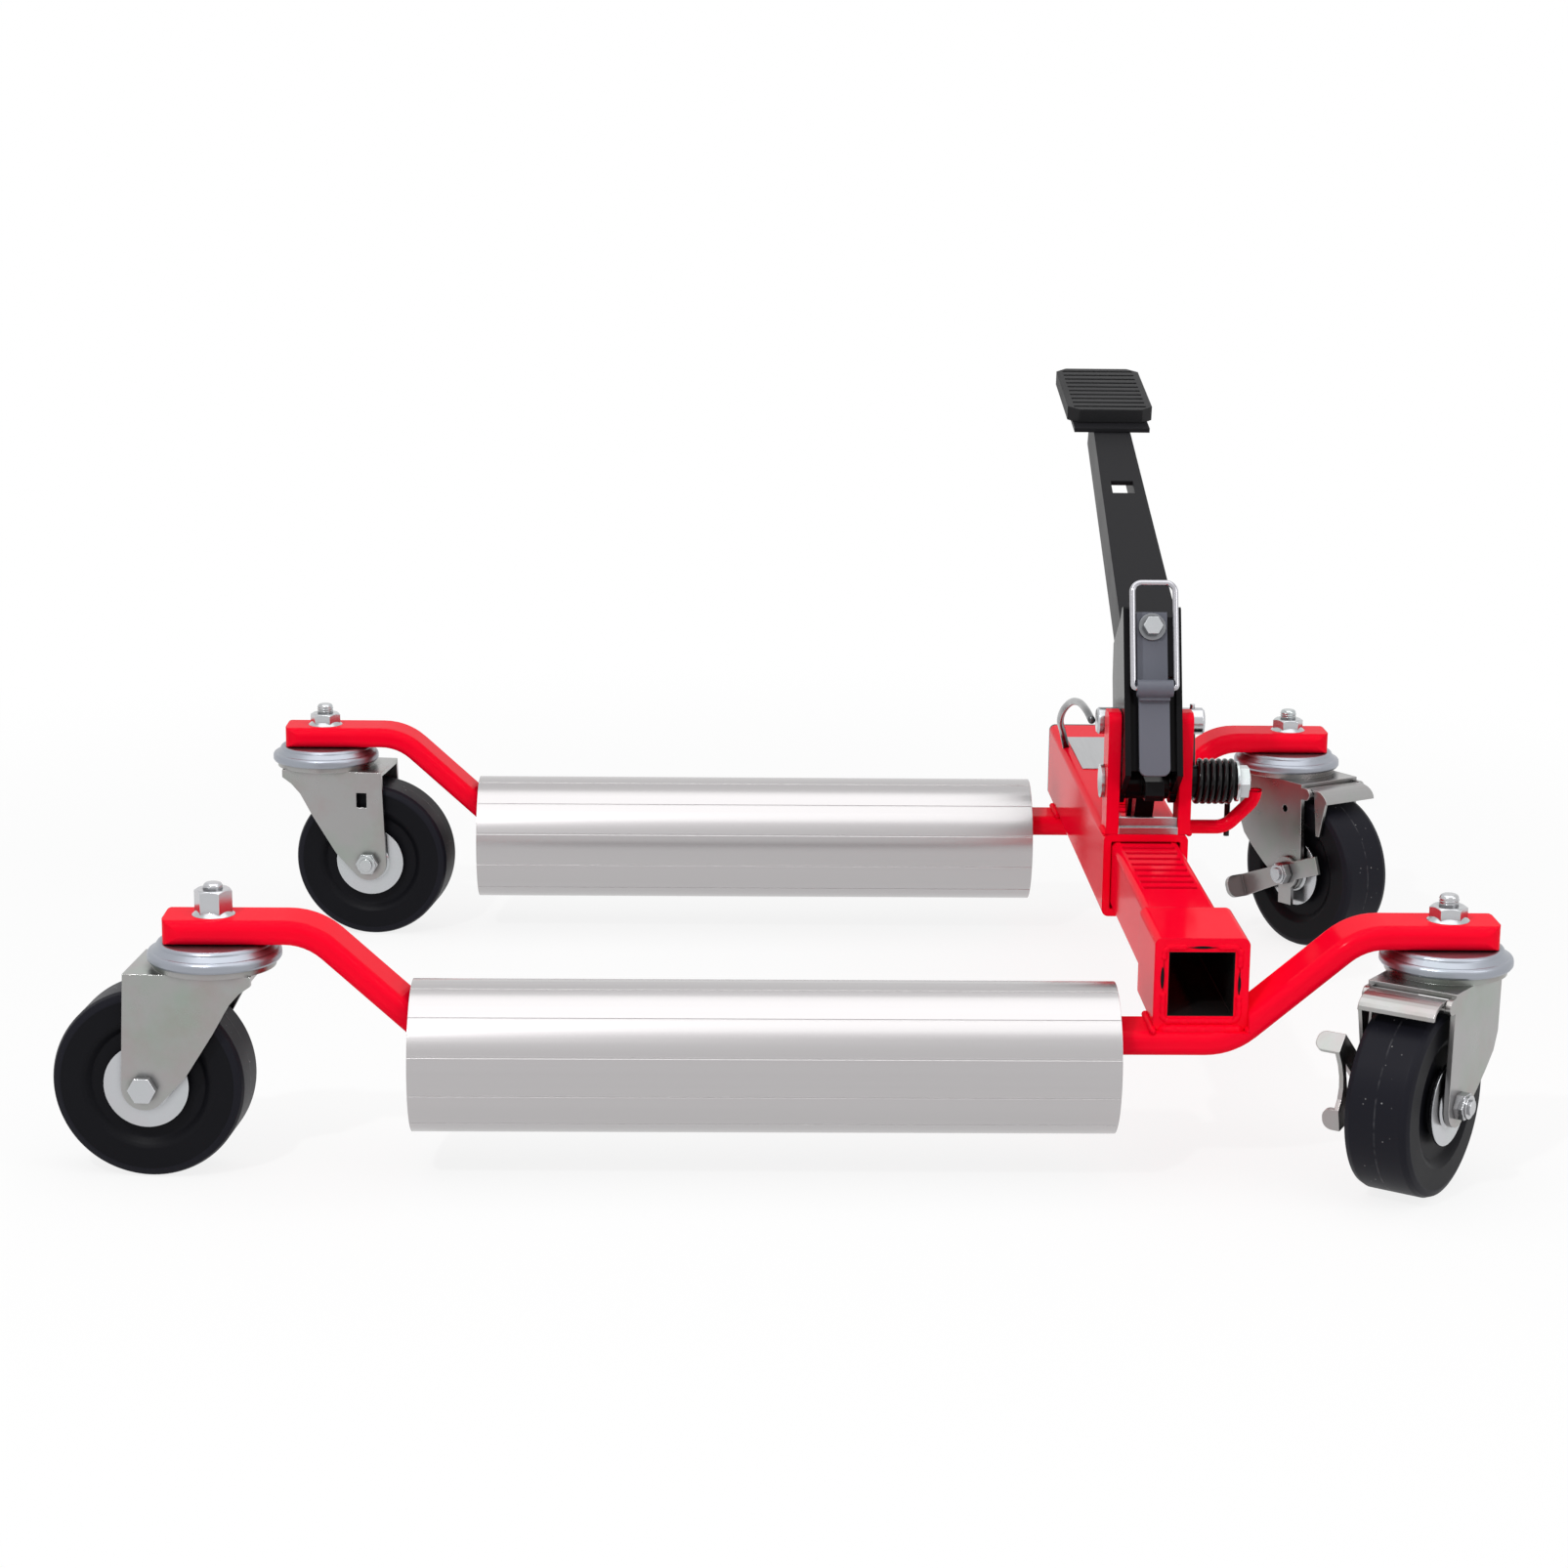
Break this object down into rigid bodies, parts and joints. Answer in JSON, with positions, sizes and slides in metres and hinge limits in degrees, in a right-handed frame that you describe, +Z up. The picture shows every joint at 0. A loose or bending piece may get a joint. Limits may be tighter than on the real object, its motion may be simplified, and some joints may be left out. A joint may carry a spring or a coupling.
{
  "type": "vehicle positioning jack",
  "caption": "Low wheeled frame with a telescopic ratchet beam that draws a pair of rollers together under a vehicle tyre when a foot pedal is pumped.",
  "frame": {"origin": "centre of the footprint, on the floor", "axes": "+X across the rollers from the free ends to the beam, +Y from the front bar to the pedal end, +Z up"},
  "size_m": [0.79, 0.6408, 0.3747],
  "materials": {
    "red_paint": "gloss",
    "black_paint": "satin",
    "zinc_steel": "zinc plated",
    "bright_wire": "bright",
    "aluminium": "mill finish",
    "bare_plate": "satin",
    "wheel_black": "matte",
    "nylon": "matte",
    "cap_plastic": "matte",
    "spring_black": "gloss",
    "pad_rubber": "matte"
  },
  "bodies": {
    "rear_frame": {"housing_tube": "red_paint", "rear_cross_bar": "red_paint", "housing_end_cap": "cap_plastic", "blank_plate": "bare_plate", "ear_left": "red_paint", "ear_right": "red_paint", "pivot_bolt": "zinc_steel", "pivot_nut": "zinc_steel", "pivot_washer": "zinc_steel", "spring_bush": "zinc_steel", "anchor_bar": "red_paint", "wear_strip": "zinc_steel", "keeper_wire": "bright_wire", "return_spring": "spring_black", "stem_bolts_rear": "zinc_steel", "stem_nuts_rear": "zinc_steel", "upper_races_rear": "zinc_steel", "swivel_balls_rear": "zinc_steel"},
    "front_frame": {"front_cross_bar": "red_paint", "front_sleeve": "red_paint", "inner_tube": "red_paint", "stem_bolts_front": "zinc_steel", "stem_nuts_front": "zinc_steel", "upper_races_front": "zinc_steel", "swivel_balls_front": "zinc_steel"},
    "front_roller": {"roller_front": "aluminium", "roller_bushes_front": "nylon"},
    "rear_roller": {"roller_rear": "aluminium", "roller_bushes_rear": "nylon"},
    "pedal": {"pedal_bracket": "black_paint", "pedal_arm": "black_paint", "pad_plate": "black_paint", "foot_pad": "pad_rubber", "leaf_strip": "black_paint", "pedal_bolt": "zinc_steel", "pedal_washer": "zinc_steel", "cross_pin": "zinc_steel", "roll_pin": "zinc_steel", "drive_pin": "zinc_steel"},
    "drive_pawl_body": {"drive_pawl": "black_paint"},
    "hold_pawl_body": {"hold_pawl": "black_paint"},
    "bail": {"bail_wire": "bright_wire"},
    "swivel_fl": {"caster_fork_fl": "zinc_steel", "caster_axle_fl": "zinc_steel"},
    "wheel_fl": {"caster_wheel_fl": "wheel_black"},
    "swivel_rl": {"caster_fork_rl": "zinc_steel", "caster_axle_rl": "zinc_steel"},
    "wheel_rl": {"caster_wheel_rl": "wheel_black"},
    "swivel_fr": {"caster_fork_fr": "zinc_steel", "caster_axle_fr": "zinc_steel"},
    "wheel_fr": {"caster_wheel_fr": "wheel_black"},
    "brake_lever_body_fr": {"brake_lever_fr": "zinc_steel"},
    "brake_shoe_body_fr": {"brake_shoe_fr": "zinc_steel"},
    "swivel_rr": {"caster_fork_rr": "zinc_steel", "caster_axle_rr": "zinc_steel"},
    "wheel_rr": {"caster_wheel_rr": "wheel_black"},
    "brake_lever_body_rr": {"brake_lever_rr": "zinc_steel"},
    "brake_shoe_body_rr": {"brake_shoe_rr": "zinc_steel"}
  },
  "joints": [
    {"name": "beam_slide", "type": "slide", "parent": "rear_frame", "child": "front_frame", "axis": [0, 1, 0], "range_m": [-0.08, 0.155]},
    {"name": "front_roller_spin", "type": "hinge", "parent": "front_frame", "child": "front_roller", "pos_m": [-0.02211, -0.24262, 0.0631], "axis": [1, 0, 0], "continuous": true},
    {"name": "rear_roller_spin", "type": "hinge", "parent": "rear_frame", "child": "rear_roller", "pos_m": [-0.02211, 0.25578, 0.0631], "axis": [1, 0, 0], "continuous": true},
    {"name": "swivel_turn_fl", "type": "hinge", "parent": "front_frame", "child": "swivel_fl", "pos_m": [-0.30981, -0.24262, 0.1123], "axis": [0, 0, 1], "continuous": true},
    {"name": "wheel_spin_fl", "type": "hinge", "parent": "swivel_fl", "child": "wheel_fl", "pos_m": [-0.34318, -0.2397, 0.0508], "axis": [-0.0872, -0.9962, 0], "continuous": true},
    {"name": "swivel_turn_rl", "type": "hinge", "parent": "rear_frame", "child": "swivel_rl", "pos_m": [-0.30981, 0.25578, 0.1123], "axis": [0, 0, 1], "continuous": true},
    {"name": "wheel_spin_rl", "type": "hinge", "parent": "swivel_rl", "child": "wheel_rl", "pos_m": [-0.2766, 0.25141, 0.0508], "axis": [0.1305, 0.9914, 0], "continuous": true},
    {"name": "swivel_turn_fr", "type": "hinge", "parent": "front_frame", "child": "swivel_fr", "pos_m": [0.33669, -0.24262, 0.1123], "axis": [0, 0, 1], "continuous": true},
    {"name": "wheel_spin_fr", "type": "hinge", "parent": "swivel_fr", "child": "wheel_fr", "pos_m": [0.31747, -0.27006, 0.0508], "axis": [0.8192, -0.5736, 0], "continuous": true},
    {"name": "brake_press_fr", "type": "hinge", "parent": "swivel_fr", "child": "brake_lever_body_fr", "pos_m": [0.31747, -0.27006, 0.0508], "axis": [0.8192, -0.5736, 0], "range_deg": [0, 20]},
    {"name": "brake_shoe_tilt_fr", "type": "hinge", "parent": "swivel_fr", "child": "brake_shoe_body_fr", "pos_m": [0.30973, -0.28112, 0.1063], "axis": [0.8192, -0.5736, 0], "range_deg": [0, 6.1]},
    {"name": "swivel_turn_rr", "type": "hinge", "parent": "rear_frame", "child": "swivel_rr", "pos_m": [0.33669, 0.25578, 0.1123], "axis": [0, 0, 1], "continuous": true},
    {"name": "wheel_spin_rr", "type": "hinge", "parent": "swivel_rr", "child": "wheel_rr", "pos_m": [0.35444, 0.22737, 0.0508], "axis": [0.848, 0.5299, 0], "continuous": true},
    {"name": "brake_press_rr", "type": "hinge", "parent": "swivel_rr", "child": "brake_lever_body_rr", "pos_m": [0.35444, 0.22737, 0.0508], "axis": [-0.848, -0.5299, 0], "range_deg": [0, 20]},
    {"name": "brake_shoe_tilt_rr", "type": "hinge", "parent": "swivel_rr", "child": "brake_shoe_body_rr", "pos_m": [0.36159, 0.21592, 0.1063], "axis": [0.848, 0.5299, 0], "range_deg": [0, 6.1]},
    {"name": "pedal_pump", "type": "hinge", "parent": "rear_frame", "child": "pedal", "pos_m": [0.20719, -0.00262, 0.1603], "axis": [-1, 0, 0], "range_deg": [0, 25], "stiffness_Nm_per_rad": 6, "springref_deg": -57.3, "deforming": ["return_spring"]},
    {"name": "drive_pawl_swing", "type": "hinge", "parent": "pedal", "child": "drive_pawl_body", "pos_m": [0.20719, 0.02338, 0.1733], "axis": [1, 0, 0], "range_deg": [0, 50.5]},
    {"name": "hold_pawl_release", "type": "hinge", "parent": "rear_frame", "child": "hold_pawl_body", "pos_m": [0.20719, -0.00262, 0.1603], "axis": [1, 0, 0], "range_deg": [0, 15], "stiffness_Nm_per_rad": 0.3, "springref_deg": -28.65},
    {"name": "bail_swing", "type": "hinge", "parent": "pedal", "child": "bail", "pos_m": [0.20719, -0.02958, 0.22145], "axis": [1, 0, 0], "range_deg": [0, 60]}
  ],
  "couplings": [
    {"joint": "brake_shoe_tilt_fr", "follows": "brake_press_fr", "ratio": 0.3},
    {"joint": "brake_shoe_tilt_rr", "follows": "brake_press_rr", "ratio": 0.3},
    {"joint": "drive_pawl_swing", "follows": "pedal_pump", "ratio": 2}
  ]
}
